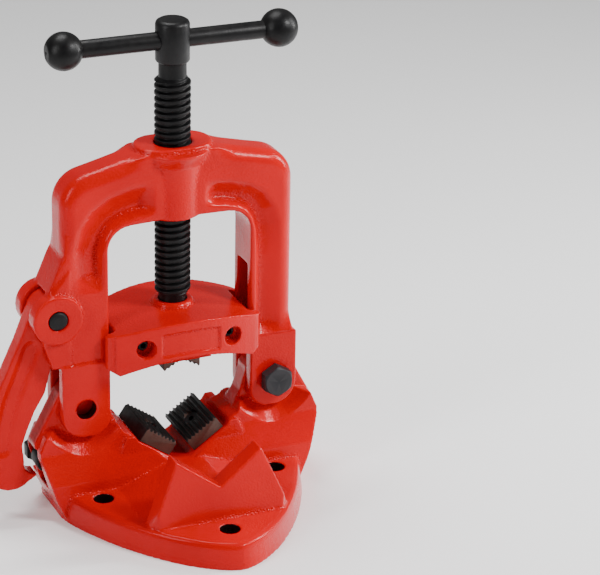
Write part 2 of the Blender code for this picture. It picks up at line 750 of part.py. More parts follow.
def jaw_holder():
    """The sliding casting that straddles both legs and carries the upper jaw on the end of the spindle."""
    holder = plate("jaw_holder", holder_profile(), -50, 50)
    combine(holder, plate("plan", holder_plan(), 90, 170, plane="XY", helper=True), how="INTERSECT")
    ring = turned(
        "ring",
        [
            (0, RING_TOP), (RING_RADIUS - 1.3, RING_TOP), (RING_RADIUS, RING_TOP - 1.3),
            (RING_RADIUS + 1.7, 143.1), (0, 143.1),
        ],
        helper=True,
        sides=36,
    )
    boss = block(
        "jaw_boss", (-21.0, JAW_Y - JAW_LENGTH / 2 - 5, 112.0), (21.0, JAW_Y + JAW_LENGTH / 2 + 5, 130.0),
        helper=True,
    )
    combine(holder, ring, boss, how="UNION")
    for side in (-1, 1):
        x = sorted((side * HOLDER_BODY, side * 80.0))
        combine(
            holder,
            block(
                "leg_channel", (x[0], -FORK_HALF - 0.5, 90.0), (x[1], FORK_HALF + 0.5, 170.0), helper=True
            ),
        )
    jaw_room = block(
        "jaw_room",
        (-UPPER_HALF - GAP, JAW_Y - JAW_LENGTH / 2 - GAP, 100.0),
        (UPPER_HALF + GAP, JAW_Y + JAW_LENGTH / 2 + GAP, UPPER_TOP + GAP),
        helper=True,
    )
    keeper_room = block("keeper_room", (-41.3, -19.0, GROOVE_BOTTOM), (41.3, 60.0, GROOVE_TOP), helper=True)
    socket = rod("socket", NECK + GAP, (0, 0, 110.0), (0, 0, 170.0), helper=True)
    washer_room = rod("washer_room", NECK + 2.0, (0, 0, 110.0), (0, 0, TAIL_BOTTOM + 0.2), helper=True)
    combine(holder, jaw_room, keeper_room, socket, washer_room)
    for side in (-1, 1):
        x = side * SCREW_X
        combine(
            holder,
            rod("counterbore", COUNTERBORE, (x, -60, SCREW_Z), (x, -26.0, SCREW_Z), helper=True, sides=24),
        )
        combine(
            holder,
            rod(
                "screw_hole", KEEPER_SCREW + GAP, (x, -31.3, SCREW_Z), (x, -12.7, SCREW_Z), helper=True,
                sides=18,
            ),
        )
    for y in UPPER_SCREWS:
        combine(holder, rod("jaw_screw_hole", 2.7, (0, y, 110), (0, y, 127.5), helper=True, sides=20))
    finish(holder, "enamel")
    return holder


def keeper_pieces():
    """The forked block in the spindle's groove, its two screws, and the thrust washer."""
    low, high = GROOVE_BOTTOM + GAP, GROOVE_TOP - GAP
    width = GROOVE_RADIUS + 0.4
    inner = [(width, 38.0)] + arc(0, 0, width, 0, -180, 10) + [(-width, 38.0)]
    outline = [
        (-41.0, 33.0), (-41.0, -18.7), (41.0, -18.7), (41.0, 33.0), (width + 4, 38.0)
    ] + inner + [(-width - 4, 38.0)]
    keeper = plate("spindle_keeper", outline, low, high, plane="XY")
    screws = []
    for side, name in ((-1, "keeper_screw_left"), (1, "keeper_screw_right")):
        x = side * SCREW_X
        combine(
            keeper,
            rod("thread", KEEPER_SCREW + GAP, (x, -25, SCREW_Z), (x, -4.0, SCREW_Z), helper=True, sides=20),
        )
        edge = KEEPER_SCREW - 0.5
        profile = [
            (0, 0.5), (edge, 0.5), (KEEPER_SCREW, 0), (KEEPER_SCREW, -20.0), (edge, -20.5), (0, -20.5)
        ]
        screw = turned(name, profile, (x, -26.0, SCREW_Z), (0, -1, 0), sides=20)
        socket = hexagon("socket", 4.0, -40.0, -22.5, x, SCREW_Z, helper=True)
        combine(screw, socket)
        finish(screw, "black_steel")
        screws.append(screw)
    washer = rod("thrust_washer", NECK + 1.5, (0, 0, UPPER_TOP + 0.6), (0, 0, TAIL_BOTTOM - GAP))
    finish(keeper, "bright_steel")
    finish(washer, "bright_steel")
    return keeper, screws, washer


# ------------------------------------------------------------------ spindle and handle


def threaded(name, low, high, steps):
    """A helical ridge with rounded crests, cut square at both ends by its envelope."""
    profile = [(ROOT, 0.0), (ROOT, 0.22), (CREST, 0.42), (CREST, 0.78)]
    turns = int((high - low) / PITCH) + 4
    start = low - 2 * PITCH
    shape = bmesh.new()
    rows = []
    for t in range(turns * steps + 1):
        angle = 2 * math.pi * t / steps
        row = []
        for radius, share in profile:
            z = start + PITCH * (t / steps + share)
            row.append(
                shape.verts.new((radius * math.cos(angle) * MM, radius * math.sin(angle) * MM, z * MM))
            )
        rows.append(row)
    last = len(rows) - 1
    count = len(profile)
    for t in range(last):
        for p in range(count - 1):
            shape.faces.new((rows[t][p], rows[t + 1][p], rows[t + 1][p + 1], rows[t][p + 1]))
        if t + steps + 1 <= last:
            shape.faces.new((rows[t][-1], rows[t + 1][-1], rows[t + steps + 1][0], rows[t + steps][0]))
    foot_centre = shape.verts.new((0, 0, (start - PITCH) * MM))
    for t in range(steps):
        shape.faces.new((rows[t][0], foot_centre, rows[t + 1][0]))
    shape.faces.new([foot_centre] + [rows[0][p] for p in range(count)] + [rows[steps][0]])
    head_centre = shape.verts.new((0, 0, (start + PITCH * (turns + 2)) * MM))
    first = last - steps
    for t in range(first, last):
        shape.faces.new((rows[t][-1], rows[t + 1][-1], head_centre))
    shape.faces.new([head_centre] + [rows[last][p] for p in reversed(range(count))] + [rows[first][-1]])
    bmesh.ops.triangulate(shape, faces=[f for f in shape.faces if len(f.verts) > 4])
    bmesh.ops.recalc_face_normals(shape, faces=shape.faces)
    mesh = bpy.data.meshes.new(name)
    shape.to_mesh(mesh)
    shape.free()
    thread = link(bpy.data.objects.new(name, mesh), False)
    envelope = turned(
        "envelope",
        [
            (0, high), (11.6, high), (CREST + 0.6, high - 2.0), (CREST + 0.6, low + 2.0), (11.6, low),
            (0, low),
        ],
        helper=True,
        sides=40,
    )
    return combine(thread, envelope, how="INTERSECT")


def spindle():
    """Head with a cross hole, neck, thread, and the grooved tail that turns in the holder."""
    screw = threaded("spindle", THREAD_BOTTOM, THREAD_TOP, 14)
    top = [
        (0, HEAD_TOP), (HEAD_RADIUS - 2.5, HEAD_TOP), (HEAD_RADIUS, HEAD_TOP - 2.5),
        (HEAD_RADIUS, HEAD_BOTTOM + 1),
    ]
    top += [
        (HEAD_RADIUS - 1, HEAD_BOTTOM), (NECK - 0.3, HEAD_BOTTOM), (NECK - 0.3, THREAD_TOP - 1.5),
        (0, THREAD_TOP - 1.5),
    ]
    tail = [
        (0, THREAD_BOTTOM + 1.5), (NECK, THREAD_BOTTOM + 1.5), (NECK, GROOVE_TOP),
        (GROOVE_RADIUS, GROOVE_TOP),
    ]
    tail += [
        (GROOVE_RADIUS, GROOVE_BOTTOM), (NECK, GROOVE_BOTTOM), (NECK, TAIL_BOTTOM + 1),
        (NECK - 1, TAIL_BOTTOM), (0, TAIL_BOTTOM),
    ]
    combine(screw, turned("top", top, helper=True), turned("tail", tail, helper=True), how="UNION")
    along = Vector((math.cos(BAR_TURN), math.sin(BAR_TURN), 0))
    middle = Vector((0, 0, BAR_Z))
    combine(
        screw,
        rod(
            "cross_hole", BAR_RADIUS + 0.4, middle - along * 30, middle + along * 30, helper=True, sides=24
        ),
    )
    pivot(screw, (0, 0, BAR_Z))
    finish(screw, "black_steel")
    return screw


def handle_pieces():
    """The sliding bar and its two balls."""
    along = Vector((math.cos(BAR_TURN), math.sin(BAR_TURN), 0))
    middle = Vector((0, 0, BAR_Z))
    end = BALL_REACH + 2.0
    bar = rod("handle_bar", BAR_RADIUS, middle - along * end, middle + along * end, sides=24, chamfer=0.8)
    balls = []
    for side, name in ((-1, "handle_ball_left"), (1, "handle_ball_right")):
        rings = 12
        profile = [
            (BALL_RADIUS * math.sin(math.pi * k / rings), BALL_RADIUS * math.cos(math.pi * k / rings))
            for k in range(rings + 1)
        ]
        centre = middle + along * side * BALL_REACH
        ball = turned(name, profile, centre, along * side, sides=24)
        combine(
            ball,
            rod(
                "bore", BAR_RADIUS + GAP, middle, middle + along * side * (end + GAP), helper=True, sides=24
            ),
        )
        balls.append(ball)
    for piece in (bar, *balls):
        finish(piece, "black_steel")
    return bar, balls


# ------------------------------------------------------------------ assembly


def main():
    global parts, helpers
    for old in list(bpy.data.objects):
        bpy.data.objects.remove(old)
    parts = bpy.data.collections.new("pipe_vise")
    helpers = bpy.data.collections.new("cutters")
    for collection in (parts, helpers):
        bpy.context.scene.collection.children.link(collection)

    base_casting()
    for side, word in ((-1, "left"), (1, "right")):
        lower_jaw(side, f"lower_jaw_{word}")
        lower_jaw_screw(side, f"lower_jaw_screw_{word}")
    hinge_pieces()
    yoke = yoke_frame()
    hook, pin = latch_pieces()
    holder = jaw_holder()
    jaw = upper_jaw()
    jaw_screws = [
        upper_jaw_screw(y, f"upper_jaw_screw_{word}") for y, word in zip(UPPER_SCREWS, ("front", "rear"))
    ]
    keeper, keeper_screws, washer = keeper_pieces()
    screw = spindle()
    bar, balls = handle_pieces()

    pivot(yoke, (HINGE_X, 0, HINGE_Z))
    pivot(hook, (LATCH_X, 0, LATCH_Z))
    pivot(bar, (0, 0, BAR_Z), BAR_TURN)
    bpy.context.view_layer.update()
    tree = [
        (hook, yoke), (pin, yoke), (holder, yoke), (jaw, holder), (keeper, holder), (washer, holder),
        (screw, holder), (bar, screw),
    ]
    tree += [(piece, holder) for piece in (*jaw_screws, *keeper_screws)] + [(ball, bar) for ball in balls]
    for child, parent in tree:
        child.parent = parent
        child.matrix_parent_inverse = parent.matrix_world.inverted()
        bpy.context.view_layer.update()


main()
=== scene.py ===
"""Looks of the hinged yoke pipe vise: cast and enamelled iron, blackened steel, plain studio."""

import math

import bmesh
import bpy
import numpy as np
from mathutils import Matrix, Vector


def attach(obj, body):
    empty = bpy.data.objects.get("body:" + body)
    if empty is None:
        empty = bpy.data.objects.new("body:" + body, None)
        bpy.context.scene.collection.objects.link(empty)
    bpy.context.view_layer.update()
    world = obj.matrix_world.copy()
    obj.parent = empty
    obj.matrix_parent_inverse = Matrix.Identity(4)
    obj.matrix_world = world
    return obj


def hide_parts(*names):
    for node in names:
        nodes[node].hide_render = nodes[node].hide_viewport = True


MM = 0.001
LATCH = (-94.0, 157.5)

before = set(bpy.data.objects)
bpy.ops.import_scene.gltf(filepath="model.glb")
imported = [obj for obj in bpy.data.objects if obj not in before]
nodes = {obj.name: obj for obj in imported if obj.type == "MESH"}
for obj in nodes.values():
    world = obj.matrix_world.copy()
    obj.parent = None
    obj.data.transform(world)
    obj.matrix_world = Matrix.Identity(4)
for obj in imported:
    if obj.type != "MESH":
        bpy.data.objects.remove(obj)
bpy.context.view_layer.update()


# ------------------------------------------------------------------ materials


class Nodes:
    """A short way to write a node tree."""

    def __init__(self, name):
        self.material = bpy.data.materials.new(name)
        self.material.use_nodes = True
        self.tree = self.material.node_tree
        self.shader = self.tree.nodes["Principled BSDF"]
        self.place = self.tree.nodes.new("ShaderNodeTexCoord").outputs["Object"]

    def link(self, source, target):
        self.tree.links.new(source, target)

    def noise(self, scale, detail=3.0, rough=0.5, stretch=None):
        node = self.tree.nodes.new("ShaderNodeTexNoise")
        node.inputs["Scale"].default_value = scale
        node.inputs["Detail"].default_value = detail
        node.inputs["Roughness"].default_value = rough
        place = self.place
        if stretch:
            mapping = self.tree.nodes.new("ShaderNodeMapping")
            mapping.inputs["Scale"].default_value = stretch
            self.link(place, mapping.inputs["Vector"])
            place = mapping.outputs["Vector"]
        self.link(place, node.inputs["Vector"])
        return node.outputs["Fac"]

    def cells(self, scale):
        node = self.tree.nodes.new("ShaderNodeTexVoronoi")
        node.inputs["Scale"].default_value = scale
        self.link(self.place, node.inputs["Vector"])
        return node.outputs["Distance"]

    def ramp(self, fac, *stops):
        node = self.tree.nodes.new("ShaderNodeValToRGB")
        ends = node.color_ramp.elements
        while len(ends) < len(stops):
            ends.new(0.5)
        for end, (at, colour) in zip(ends, stops):
            end.position = at
            if not isinstance(colour, tuple):
                colour = (colour, colour, colour)
            end.color = (*colour, 1.0)
        self.link(fac, node.inputs["Fac"])
        return node.outputs["Color"]

    def math(self, how, a, b):
        node = self.tree.nodes.new("ShaderNodeMath")
        node.operation = how
        for socket, value in zip(node.inputs, (a, b)):
            if isinstance(value, (int, float)):
                socket.default_value = value
            else:
                self.link(value, socket)
        return node.outputs[0]

    def mix(self, fac, a, b):
        node = self.tree.nodes.new("ShaderNodeMix")
        node.data_type = "RGBA"
        for socket, value in ((node.inputs[0], fac), (node.inputs[6], a), (node.inputs[7], b)):
            if isinstance(value, tuple):
                socket.default_value = (*value, 1.0)
            elif isinstance(value, (int, float)):
                socket.default_value = value
            else:
                self.link(value, socket)
        return node.outputs[2]

    def within(self, axis, middle, radius):
        """1 nearer than radius to a line along an axis, else 0."""
        split = self.tree.nodes.new("ShaderNodeSeparateXYZ")
        self.link(self.place, split.inputs[0])
        across = [split.outputs[name] for name in "XYZ" if name != axis]
        steps = [self.math("SUBTRACT", socket, at) for socket, at in zip(across, middle)]
        squares = [self.math("MULTIPLY", step, step) for step in steps]
        return self.math("LESS_THAN", self.math("ADD", *squares), radius * radius)

    def edges(self, low, high):
        """1 on outward edges, 0 on flats and hollows."""
        node = self.tree.nodes.new("ShaderNodeNewGeometry")
        return self.ramp(node.outputs["Pointiness"], (low, 0.0), (high, 1.0))

    def bump(self, height, distance, strength=1.0):
        node = self.tree.nodes.new("ShaderNodeBump")
        node.inputs["Distance"].default_value = distance
        node.inputs["Strength"].default_value = strength
        self.link(height, node.inputs["Height"])
        self.link(node.outputs["Normal"], self.shader.inputs["Normal"])


def enamel(name, bores=()):
    """Glossy red enamel over sand-cast iron.

    The grain shows in the hollows, outward edges are lighter (edge wear and painted highlight), and drilled
    bores are painted near black as painted shade inside the holes. A bore is its axis, its place across that
    axis and its radius, in metres.
    """
    n = Nodes(name)
    region = n.ramp(n.noise(22.0, 2.0), (0.36, 0.25), (0.62, 1.0))
    grain = n.math("MULTIPLY", n.ramp(n.cells(620.0), (0.0, 1.0), (0.75, 0.0)), region)
    peel = n.noise(260.0, 2.0)
    swell = n.noise(60.0, 2.0)
    hollow = n.ramp(
        n.tree.nodes.new("ShaderNodeNewGeometry").outputs["Pointiness"], (0.482, 3.0), (0.497, 0.5)
    )
    grain = n.math("MULTIPLY", grain, hollow)
    height = n.math("ADD", n.math("MULTIPLY", grain, 1.1), n.math("MULTIPLY", peel, 0.35))
    height = n.math("ADD", height, n.math("MULTIPLY", swell, 0.9))
    n.bump(height, 0.00035, 0.8)
    tone = n.mix(
        n.ramp(n.noise(14.0, 3.0), (0.35, 0.0), (0.7, 1.0)), (0.49, 0.0008, 0.0026), (0.60, 0.0013, 0.0040)
    )
    # Outward edges mixed towards a lighter red: partly edge wear, partly a painted highlight where light
    # catches the edges.
    edge = n.edges(0.52, 0.60)
    tone = n.mix(n.math("MULTIPLY", edge, 0.45), tone, (0.80, 0.014, 0.018))
    # Painted shade: inside each listed bore the colour goes near black, standing in for the dark of the deep
    # hole.
    for axis, middle, radius in bores:
        tone = n.mix(n.within(axis, middle, radius), tone, (0.010, 0.0035, 0.0035))
    n.link(tone, n.shader.inputs["Base Color"])
    rough = n.ramp(n.noise(90.0, 3.0), (0.3, 0.18), (0.7, 0.27))
    n.link(rough, n.shader.inputs["Roughness"])
    n.shader.inputs["Specular IOR Level"].default_value = 0.30
    n.shader.inputs["Specular Tint"].default_value = (1.0, 0.14, 0.14, 1.0)
    n.shader.inputs["Coat Weight"].default_value = 0.14
    n.shader.inputs["Coat Roughness"].default_value = 0.14
    return n.material


def black_steel(
    name, colour=(0.0028, 0.0027, 0.0032), warm=(0.0065, 0.006, 0.006), rough=(0.32, 0.48), metallic=0.0
):
    """Blackened steel with faint blotches, and edges rubbed a little brighter."""
    n = Nodes(name)
    tone = n.mix(n.ramp(n.noise(95.0, 4.0), (0.35, 0.0), (0.68, 1.0)), colour, warm)
    edge = n.edges(0.53, 0.62)
    tone = n.mix(n.math("MULTIPLY", edge, 0.5), tone, (0.045, 0.044, 0.046))
    n.link(tone, n.shader.inputs["Base Color"])
    n.link(n.ramp(n.noise(240.0, 3.0), (0.3, rough[0]), (0.7, rough[1])), n.shader.inputs["Roughness"])
    n.shader.inputs["Metallic"].default_value = metallic
    n.shader.inputs["Specular IOR Level"].default_value = 0.20
    height = n.math("ADD", n.noise(700.0, 3.0), n.math("MULTIPLY", n.noise(150.0, 2.0), 1.2))
    n.bump(height, 0.00012, 0.7)
    return n.material


def jaw_steel(name):
    """Hardened jaw: black on the teeth, brown where the ends were sawn."""
    n = Nodes(name)
    facing = n.tree.nodes.new("ShaderNodeNewGeometry").outputs["Normal"]
    split = n.tree.nodes.new("ShaderNodeSeparateXYZ")
    n.link(facing, split.inputs[0])
    end = n.ramp(n.math("ABSOLUTE", split.outputs["Y"], 0.0), (0.75, 0.0), (0.95, 1.0))
    saw = n.noise(500.0, 3.0, 0.6, (1.0, 1.0, 6.0))
    brown = n.mix(saw, (0.050, 0.026, 0.020), (0.125, 0.062, 0.045))
    black = n.mix(n.noise(160.0, 3.0), (0.003, 0.0027, 0.0027), (0.012, 0.009, 0.008))
    tone = n.mix(end, black, brown)
    n.link(tone, n.shader.inputs["Base Color"])
    n.link(n.ramp(n.noise(220.0, 3.0), (0.3, 0.38), (0.7, 0.62)), n.shader.inputs["Roughness"])
    n.shader.inputs["Metallic"].default_value = 0.35
    n.bump(n.math("ADD", n.noise(600.0, 3.0), saw), 0.00012, 0.8)
    return n.material


def bright_steel(name):
    """Plain machined steel, brushed one way."""
    n = Nodes(name)
    brushed = n.noise(400.0, 3.0, 0.6, (1.0, 1.0, 12.0))
    n.link(n.mix(brushed, (0.34, 0.34, 0.35), (0.60, 0.60, 0.61)), n.shader.inputs["Base Color"])
    n.link(n.ramp(brushed, (0.2, 0.28), (0.8, 0.46)), n.shader.inputs["Roughness"])
    n.shader.inputs["Metallic"].default_value = 1.0
    n.bump(brushed, 0.00006, 0.6)
    return n.material


# ------------------------------------------------------------------ mesh helpers


def new_object(name, mesh):
    made = bpy.data.objects.new(name, mesh)
    bpy.context.scene.collection.objects.link(made)
    return made


def from_node(node, name):
    """A welded copy of a CAD node's mesh."""
    mesh = nodes[node].data.copy()
    mesh.name = name
    shape = bmesh.new()
    shape.from_mesh(mesh)
    bmesh.ops.remove_doubles(shape, verts=shape.verts, dist=0.000002)
    bmesh.ops.recalc_face_normals(shape, faces=shape.faces)
    shape.to_mesh(mesh)
    shape.free()
    mesh.materials.clear()
    return new_object(name, mesh)


def bake_modifiers(piece):
    """The piece with its modifiers applied."""
    bpy.context.view_layer.update()
    made = bpy.data.meshes.new_from_object(piece.evaluated_get(bpy.context.evaluated_depsgraph_get()))
    piece.modifiers.clear()
    piece.data = made
    return piece


def boolean(piece, other, how):
    modifier = piece.modifiers.new("cut", "BOOLEAN")
    modifier.operation = how
    modifier.solver = "EXACT"
    modifier.object = other
    bake_modifiers(piece)
    bpy.data.objects.remove(other)
    return piece


def absorb(piece, other):
    """Adds the other's mesh to the piece's, for a remesh that fuses them."""
    shape = bmesh.new()
    shape.from_mesh(piece.data)
    other.data.transform(other.matrix_world)
    shape.from_mesh(other.data)
    shape.to_mesh(piece.data)
    shape.free()
    bpy.data.objects.remove(other)
    return piece


def prism(name, outline, low, high, turn=None):
    """An XZ outline in millimetres, thick from y = low to high."""
    shape = bmesh.new()
    ends = [[shape.verts.new((x * MM, y * MM, z * MM)) for x, z in outline] for y in (low, high)]
    count = len(outline)
    for i in range(count):
        j = (i + 1) % count
        shape.faces.new((ends[0][i], ends[0][j], ends[1][j], ends[1][i]))
    caps = [shape.faces.new(end) for end in ends]
    bmesh.ops.triangulate(shape, faces=caps)
    bmesh.ops.recalc_face_normals(shape, faces=shape.faces)
    mesh = bpy.data.meshes.new(name)
    shape.to_mesh(mesh)
    shape.free()
    if turn:
        mesh.transform(turn)
    return new_object(name, mesh)


def lathe(name, profile, origin, axis, sides=64):
    """A closed solid turned from (radius, height) pairs in millimetres; its two ends are on the axis."""
    frame_turn = Vector((0, 0, 1)).rotation_difference(Vector(axis)).to_matrix().to_4x4()
    to_place = Matrix.Translation(Vector(origin) * MM) @ frame_turn
    shape = bmesh.new()
    rings = []
    for radius, height in profile:
        if radius < 1e-6:
            rings.append([shape.verts.new((0, 0, height * MM))])
            continue
        turns = [2 * math.pi * k / sides for k in range(sides)]
        spots = [(radius * MM * math.cos(t), radius * MM * math.sin(t), height * MM) for t in turns]
        rings.append([shape.verts.new(spot) for spot in spots])
    for low, high in zip(rings, rings[1:]):
        for k in range(sides):
            m = (k + 1) % sides
            corners = [low[k % len(low)], low[m % len(low)], high[m % len(high)], high[k % len(high)]]
            face = [v for i, v in enumerate(corners) if v not in corners[:i]]
            if len(face) > 2:
                shape.faces.new(face)
    bmesh.ops.recalc_face_normals(shape, faces=shape.faces)
    mesh = bpy.data.meshes.new(name)
    shape.to_mesh(mesh)
    shape.free()
    mesh.transform(to_place)
    return new_object(name, mesh)


def cast(piece, voxel, smoothing, iterations):
    """Fuses a piece into one skin and rounds it as a sand mould does."""
    remesh = piece.modifiers.new("remesh", "REMESH")
    remesh.mode = "VOXEL"
    remesh.voxel_size = voxel * MM
    smooth = piece.modifiers.new("smooth", "SMOOTH")
    smooth.factor = smoothing
    smooth.iterations = iterations
    bake_modifiers(piece)
    piece.data.shade_smooth()
    return piece


def soften(piece, width, segments=3, angle=30):
    """Rounds a machined piece's edges."""
    bevel = piece.modifiers.new("bevel", "BEVEL")
    bevel.width = width * MM
    bevel.segments = segments
    bevel.limit_method = "ANGLE"
    bevel.angle_limit = math.radians(angle)
    bevel.harden_normals = False
    bake_modifiers(piece)
    piece.data.shade_smooth()
    piece.data.set_sharp_from_angle(angle=math.radians(40))
    return piece


def dress(piece, node, body, material):
    piece.data.materials.clear()
    piece.data.materials.append(material)
    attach(piece, body)
    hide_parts(node)


# ------------------------------------------------------------------ castings


def reshape(piece, move):
    """Moves every point of a piece: move takes and gives arrays of x, y and z in millimetres."""
    count = len(piece.data.vertices)
    points = np.empty(count * 3)
    piece.data.vertices.foreach_get("co", points)
    points = points.reshape(-1, 3) / MM
    x, y, z = move(points[:, 0].copy(), points[:, 1].copy(), points[:, 2].copy())
    points = np.stack([x, y, z], axis=1) * MM
    piece.data.vertices.foreach_set("co", points.ravel())
    piece.data.update()


def nearest_on(line, x, z):
    """Distance to a line of (x, z) points, and the unit step away from it."""
    best = np.full(x.shape, 1e9)
    away_x, away_z = np.zeros(x.shape), np.zeros(x.shape)
    for (ax, az), (bx, bz) in zip(line, line[1:]):
        dx, dz = bx - ax, bz - az
        along = np.clip(((x - ax) * dx + (z - az) * dz) / (dx * dx + dz * dz), 0, 1)
        ox, oz = x - (ax + along * dx), z - (az + along * dz)
        reach = np.hypot(ox, oz)
        closer = reach < best
        best = np.where(closer, reach, best)
        away_x = np.where(closer, ox / np.maximum(reach, 1e-6), away_x)
        away_z = np.where(closer, oz / np.maximum(reach, 1e-6), away_z)
    return best, away_x, away_z


def round_outside(x, y, z):
    """Rounds the outer edges of the arch, fading out at the boss, the latch ears and the forks."""
    radius, half = 10.0, 16.0
    outside = 2.0
    right = [(88.0 + outside, 60.0)]
    for k in range(11):
        turn = math.radians(7.78 * k)
        right.append((64.0 + (24.0 + outside) * math.cos(turn), 237.1 + (24.0 + outside) * math.sin(turn)))
    right += [(58.4, 263.0 + outside), (30.2, 270.0 + outside), (0.0, 271.0 + outside)]
    line = right + [(-a, b) for a, b in reversed(right[:-1])]
    depth, away_x, away_z = nearest_on(line, x, z)
    depth = depth - outside
    across = np.abs(y) - (half - radius)
    inward = radius - depth
    reach = np.hypot(np.maximum(across, 0), np.maximum(inward, 0))
    over = (across > 0) & (inward > 0) & (reach > radius) & (depth < radius + 1)
    pull = np.where(over, radius / np.maximum(reach, 1e-6), 1.0)
    fade = np.clip((z - 119.5) / 14.0, 0, 1) * np.clip((np.abs(x) - 27.0) / 14.0, 0, 1)
    fade = np.where(x < -70, fade * np.clip((z - 198.0) / 22.0, 0, 1), fade)
    pull = 1 + (pull - 1) * fade
    moved_in = inward * (1 - pull) * over
    y = np.where(over, np.sign(y) * ((half - radius) + across * pull), y)
    return x + away_x * moved_in, y, z + away_z * moved_in


def base_casting():
    return cast(from_node("base_casting", "base_cast"), 0.9, 0.5, 3)


def scoop(x, y, z, line, middle, reach, depth, ends):
    """Sinks both faces along a line: reach is how far the hollow runs towards the middle and away from it."""
    away, away_x, away_z = nearest_on(line, x, z)
    outward = away_x * (x - middle[0]) + away_z * (z - middle[1]) > 0
    share = np.clip(away / np.where(outward, reach[1], reach[0]), 0, 1)
    sink = depth * (1 - share * share) ** 2 * ends
    return x, y - np.sign(y) * sink * np.clip((np.abs(y) - 9.0) / 4.0, 0, 1), z


def hollows(x, y, z):
    """The hollows inside the arch: the left one ends above the latch ears, the right one at the fork."""
    cove = [(63.5, 190.0), (63, 203), (60.5, 213), (55, 221.5), (46.5, 227), (36, 230), (20, 232)]
    right = [(63.5, 112)] + cove
    left = [(-a, b) for a, b in [(63.5, 168)] + cove]
    beside_boss = np.clip((np.abs(x) - 19.0) / 9.0, 0, 1)
    low_right = np.clip((z - 119.0) / 8.0, 0, 1)
    low_left = np.clip((z - 173.0) / 12.0, 0, 1)
    deep = 4.4 + 3.2 * np.clip((z - 180.0) / 25.0, 0, 1)
    x, y, z = scoop(x, y, z, right, (0, 160), (6.0, 15.0), deep, beside_boss * low_right * (x > 0))
    return scoop(x, y, z, left, (0, 160), (6.0, 21.0), deep + 0.8, beside_boss * low_left * (x < 0))


def fork_ramp(x, y, z):
    """The right leg thickens towards its fork in a ramp."""
    share = np.clip((134.0 - z) / 15.0, 0, 1) * (z > 118.5)
    on_face = (x > 50) & (np.abs(y) > 12.0) & (np.abs(y) < 17.2)
    return x, y + np.sign(y) * 2.0 * share**2 * on_face * np.clip((18.0 - np.abs(y)) / 2.0, 0, 1), z


def yoke_frame():
    """The arch: rounded outside, hollowed inside, and filled out above the latch ears."""
    yoke = from_node("yoke_frame", "yoke_cast")
    flank = [
        (-80.0, 212.0), (-86.5, 206.0), (-91.0, 195.5), (-99.6, 175.6), (-99.0, 174.9), (-92.0, 174.9),
        (-80.0, 182.0),
    ]
    absorb(yoke, prism("flank", flank, -15.4, 15.4))
    cast(yoke, 0.9, 0.5, 4)
    reshape(yoke, round_outside)
    reshape(yoke, hollows)
    reshape(yoke, fork_ramp)
    smooth = yoke.modifiers.new("smooth", "SMOOTH")
    smooth.factor = 0.5
    smooth.iterations = 5
    bake_modifiers(yoke)
    yoke.data.shade_smooth()
    return yoke


def latch_hook():
    """The hook, with a shallow channel down each face."""
    hook = from_node("latch_hook", "hook_cast")
    cast(hook, 0.8, 0.5, 7)

    def channel(x, y, z):
        line = [(-110, 132), (-118, 112), (-125, 95), (-130, 78), (-133, 58)]
        away, _, _ = nearest_on(line, x, z)
        share = np.clip(away / 8.5, 0, 1)
        sink = 1.7 * np.minimum(1, 1.6 * (1 - share * share) ** 2)
        return x, y - np.sign(y) * sink * np.clip((np.abs(y) - 3.0) / 3.0, 0, 1), z

    reshape(hook, channel)
    return hook


def jaw_holder():
    """The holder, with its panel and rounded ends."""
    holder = from_node("jaw_holder", "holder_cast")
    cast(holder, 0.7, 0.5, 3)

    def panel(x, y, z):
        """A sunk panel between the screws, front and back."""
        bow = 39.5 - (131.3 - np.sqrt(131.3**2 - x * x))
        level = z + 0.0031 * x * x
        inside = np.clip((22.8 - np.abs(x)) / 1.4, 0, 1) * np.clip((143.4 - level) / 1.4, 0, 1)
        inside = inside * np.clip((level - 124.7) / 1.4, 0, 1) * (np.abs(y) > bow - 2.5)
        return x, y - np.sign(y) * 1.1 * inside, z

    def ends(x, y, z):
        """Rounds the upright edges at the holder's ends."""
        radius = 5.0
        side = np.maximum(np.abs(x) - (59.0 - radius), 0)
        front = np.maximum(np.abs(y) - (27.8 - radius - 0.235 * (np.abs(x) - 50.0)), 0)
        reach = np.hypot(side, front)
        over = (side > 0) & (front > 0) & (reach > radius) & (reach < 2 * radius)
        pull = np.where(over, radius / np.maximum(reach, 1e-6), 1.0)
        x = np.where(over, x - np.sign(x) * side * (1 - pull), x)
        return x, np.where(over, y - np.sign(y) * front * (1 - pull), y), z

    reshape(holder, panel)
    reshape(holder, ends)
    return holder


# ------------------------------------------------------------------ steel


